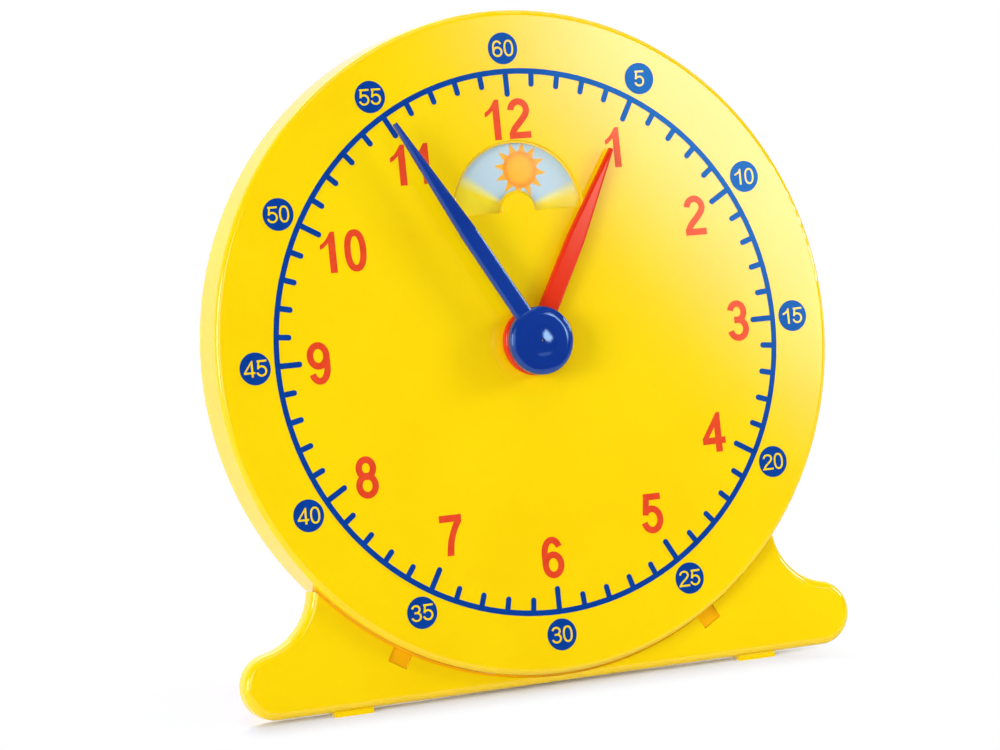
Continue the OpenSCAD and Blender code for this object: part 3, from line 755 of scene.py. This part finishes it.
def domed_head(mesh, middle, level):
    """Domed top of a screw with its cross recess; gives back the vertices of its rim."""
    verts, faces, in_cross, rim, recess = head_plan()
    sag = [DOME_R - math.sqrt(DOME_R ** 2 - v.length_squared) for v in verts]
    top = [mesh.verts.new((*(middle + v), level + s)) for v, s in zip(verts, sag)]
    bottom = {k: mesh.verts.new((*(middle + verts[k]), level + CROSS_DEEP)) for k in recess}
    for face, sunk in zip(faces, in_cross):
        layer = bottom if sunk else top
        mesh.faces.new([layer[k] for k in face]).smooth = not sunk
    for a, b in zip(recess, recess[1:] + recess[:1]):
        mesh.faces.new((top[a], top[b], bottom[b], bottom[a]))
    return [top[k] for k in rim]


def screw(mesh, middle, level, tip):
    """Screw along the dial's axis with its head behind."""
    last = domed_head(mesh, middle, level)
    seat = level + HEAD_T
    for radius, z in ((HEAD_R, seat), (SHANK_R, seat), (SHANK_R, tip - TIP_T), (TIP_R, tip)):
        row = [mesh.verts.new((*(middle + point), z)) for point in ring(radius)]
        for k in range(HEAD_SIDES):
            mesh.faces.new((last[k - 1], last[k], row[k], row[k - 1]))
        last = row
    mesh.faces.new(last)


def cross_head_screws(node, material):
    """Screws with a cross recess in place of a node's plain ones."""
    mesh = bmesh.new()
    for points in screw_points(node):
        screw(mesh, *screw_place(points))
    bmesh.ops.recalc_face_normals(mesh, faces=mesh.faces)
    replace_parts(add_piece(f"{node}_cross_head", mesh, material, "case"), node)


def seen_rays(tree):
    """1 for rays that look at a surface: from the camera, in a reflection or through clear plastic."""
    path = add_node(tree, "ShaderNodeLightPath")
    indirect = larger(tree, path.outputs["Is Glossy Ray"], path.outputs["Is Transmission Ray"])
    return larger(tree, path.outputs["Is Camera Ray"], indirect)


def floor_fade(tree):
    """0 on the floor under and near the clock, and 1 away from it."""
    coords = add_node(tree, "ShaderNodeTexCoord")
    place = add_node(tree, "ShaderNodeSeparateXYZ")
    join(tree, coords, "Object", place, "Vector")
    from_middle = add_node(tree, "ShaderNodeMath", {1: SHADE_MIDDLE_X}, operation="SUBTRACT")
    join(tree, place, "X", from_middle, 0)
    aside = add_node(tree, "ShaderNodeMath", operation="ABSOLUTE")
    join(tree, from_middle, "Value", aside, 0)
    forward = add_node(tree, "ShaderNodeMath", {1: -1.0}, operation="MULTIPLY")
    join(tree, place, "Y", forward, 0)
    front = soft_step(tree, forward.outputs["Value"], SHADE_FRONT)
    back = soft_step(tree, place.outputs["Y"], SHADE_BACK)
    sides = soft_step(tree, aside.outputs["Value"], SHADE_SIDES)
    return larger(tree, sides, larger(tree, front, back))


def floor_material():
    """Pale floor that keeps the shadow near the clock and goes to white away from it."""
    material = bpy.data.materials.new("studio_floor")
    material.use_nodes = True
    tree = material.node_tree
    tree.nodes.remove(tree.nodes["Principled BSDF"])
    seen = seen_rays(tree)
    paint = add_node(tree, "ShaderNodeBsdfDiffuse", {"Color": rgba(FLOOR_PAINT)})
    glow = add_node(tree, "ShaderNodeEmission")
    lift = add_node(tree, "ShaderNodeMath", {1: FLOOR_LIFT}, operation="MULTIPLY")
    tree.links.new(seen, lift.inputs[0])
    join(tree, lift, "Value", glow, "Strength")
    near = add_node(tree, "ShaderNodeAddShader")
    tree.links.new(paint.outputs["BSDF"], near.inputs[0])
    tree.links.new(glow.outputs["Emission"], near.inputs[1])
    white = add_node(tree, "ShaderNodeEmission", {"Strength": 1.0})
    mix = add_node(tree, "ShaderNodeMixShader")
    tree.links.new(product(tree, floor_fade(tree), seen), mix.inputs["Fac"])
    tree.links.new(near.outputs["Shader"], mix.inputs[1])
    tree.links.new(white.outputs["Emission"], mix.inputs[2])
    join(tree, mix, "Shader", tree.nodes["Material Output"], "Surface")
    return material


def make_floor():
    """Wide floor with a low backdrop at its border, so that low views end on white too."""
    data = bpy.data.meshes.new("studio_floor")
    square = ((-1, -1), (1, -1), (1, 1), (-1, 1))
    corners = [(x * FLOOR_HALF, y * FLOOR_HALF, z) for z in (0, BACKDROP_H) for x, y in square]
    walls = [(k, (k + 1) % 4, (k + 1) % 4 + 4, k + 4) for k in range(4)]
    data.from_pydata(corners, [], [(0, 1, 2, 3)] + walls)
    data.materials.append(floor_material())
    floor = bpy.data.objects.new("studio_floor", data)
    bpy.context.scene.collection.objects.link(floor)


def strip_axes(turn, rise, lean):
    """Middle of a strip light and the directions across and along it, as seen from the clock."""
    turn, rise, lean = (math.radians(a) for a in (turn, rise, lean))
    right = Vector((math.cos(turn), math.sin(turn), 0))
    middle = Vector((math.sin(turn) * math.cos(rise), -math.cos(turn) * math.cos(rise), math.sin(rise)))
    up = middle.cross(right)
    across = right * math.cos(lean) + up * math.sin(lean)
    along = up * math.cos(lean) - right * math.sin(lean)
    return middle, across, along


def soft_band(tree, coords, axis, half, soft):
    """1 where a direction lies within half degrees of a strip's middle along an axis, with soft ends."""
    dot = add_node(tree, "ShaderNodeVectorMath", {1: axis}, operation="DOT_PRODUCT")
    tree.links.new(coords.outputs["Generated"], dot.inputs[0])
    away = add_node(tree, "ShaderNodeMath", operation="ABSOLUTE")
    join(tree, dot, "Value", away, 0)
    edge = add_node(tree, "ShaderNodeMapRange", {
        "From Min": math.sin(math.radians(half)), "From Max": math.sin(math.radians(half - soft)),
    }, interpolation_type="SMOOTHSTEP")
    join(tree, away, "Value", edge, "Value")
    return edge.outputs["Result"]


def strip_light(tree, coords, strip):
    """Brightness of a strip light in each direction of the room."""
    level, turn, rise, lean, half_w, half_h, soft = strip
    middle, across, along = strip_axes(turn, rise, lean)
    ahead = add_node(tree, "ShaderNodeVectorMath", {1: middle}, operation="DOT_PRODUCT")
    tree.links.new(coords.outputs["Generated"], ahead.inputs[0])
    facing = add_node(tree, "ShaderNodeMath", {1: 0.0}, operation="GREATER_THAN")
    join(tree, ahead, "Value", facing, 0)
    wide = soft_band(tree, coords, across, half_w, soft)
    tall = soft_band(tree, coords, along, half_h, soft)
    shape = product(tree, product(tree, wide, tall), facing.outputs["Value"])
    scaled = add_node(tree, "ShaderNodeMath", {1: level}, operation="MULTIPLY")
    tree.links.new(shape, scaled.inputs[0])
    return scaled.outputs["Value"]


def make_world():
    """Even room light, dim in front of the dial and bright behind it, with the strip lights."""
    world = bpy.data.worlds.new("studio")
    world.use_nodes = True
    tree = world.node_tree
    coords = add_node(tree, "ShaderNodeTexCoord")
    parts = add_node(tree, "ShaderNodeSeparateXYZ")
    join(tree, coords, "Generated", parts, "Vector")
    level = add_node(tree, "ShaderNodeMapRange", {
        "From Min": ROOM_TURN[0], "From Max": ROOM_TURN[1], "To Min": ROOM_FRONT, "To Max": ROOM_BACK,
    }, interpolation_type="SMOOTHSTEP")
    join(tree, parts, "Y", level, "Value")
    total = level.outputs["Result"]
    for strip in STRIPS.values():
        total = combined(tree, "ADD", total, strip_light(tree, coords, strip))
    tree.links.new(total, tree.nodes["Background"].inputs["Strength"])
    tree.nodes["Background"].inputs["Color"].default_value = (1, 1, 1, 1)
    bpy.context.scene.world = world


def make_lamps():
    """Square softboxes that the camera doesn't see."""
    for name, (place, aim, side, power) in LAMPS.items():
        data = bpy.data.lights.new(name, "AREA")
        data.shape = "SQUARE"
        data.size = side
        data.energy = power
        data.spread = LAMP_SPREAD
        lamp = bpy.data.objects.new(name, data)
        lamp.location = place
        lamp.rotation_euler = (Vector(aim) - Vector(place)).to_track_quat("-Z", "Y").to_euler()
        lamp.visible_camera = False
        bpy.context.scene.collection.objects.link(lamp)


def make_camera():
    """Camera of the photograph's view."""
    data = bpy.data.cameras.new("camera")
    data.sensor_fit = "HORIZONTAL"
    data.sensor_width = SENSOR_W
    data.lens = CAMERA_LENS
    camera = bpy.data.objects.new("camera", data)
    camera.location = CAMERA_AT
    camera.rotation_euler = [math.radians(a) for a in CAMERA_TURN]
    bpy.context.scene.collection.objects.link(camera)
    bpy.context.scene.camera = camera


def make_finishes():
    """One finish for each material slot of the record, except the red print, which no node has."""
    return {
        "yellow_plastic": moulded_plastic("yellow_plastic", YELLOW, YELLOW_DEEP, shine=YELLOW_GLOSS),
        "clear_plastic": clear_plastic(),
        "blue_print": printed_ink("blue_print", PRINT_BLUE, PRINT_BLUE_DEEP, PRINT_BLUE_GLOSS),
        "blue_plastic": moulded_plastic("blue_plastic", HAND_BLUE, HAND_BLUE_DEEP, HAND_ROUGH,
                                        HAND_BLUE_GLOSS, BLUE_SPECULAR),
        "red_plastic": moulded_plastic("red_plastic", HAND_RED, HAND_RED_DEEP, HAND_ROUGH, HAND_RED_GLOSS),
        "natural_plastic": moulded_plastic("natural_plastic", NATURAL, NATURAL_DEEP, NATURAL_ROUGH),
        "steel": plain_steel(),
        "sky_print": sky_print(),
        "motif_print": motif_print(),
    }


def dress_clock():
    """Finishes on the CAD nodes, and the pieces that the scene adds."""
    finishes = make_finishes()
    dress_nodes(finishes)
    red = printed_ink("red_print", PRINT_RED, PRINT_RED_DEEP, PRINT_RED_GLOSS)
    print_numbers(red, finishes["yellow_plastic"])
    hub_band(finishes["blue_plastic"])
    # Lip and lug plates in a plastic whose orange colour is painted shade of the seam
    seam_pieces(moulded_plastic("seam_painted_shade", SEAM_PAINTED_SHADE, SEAM_PAINTED_SHADE_DEEP))
    for node in ("cover_screws", "foot_screws"):
        cross_head_screws(node, finishes["steel"])


def main():
    dress_clock()
    make_floor()
    make_world()
    make_lamps()
    make_camera()
    bpy.context.scene.view_settings.view_transform = "Standard"


main()
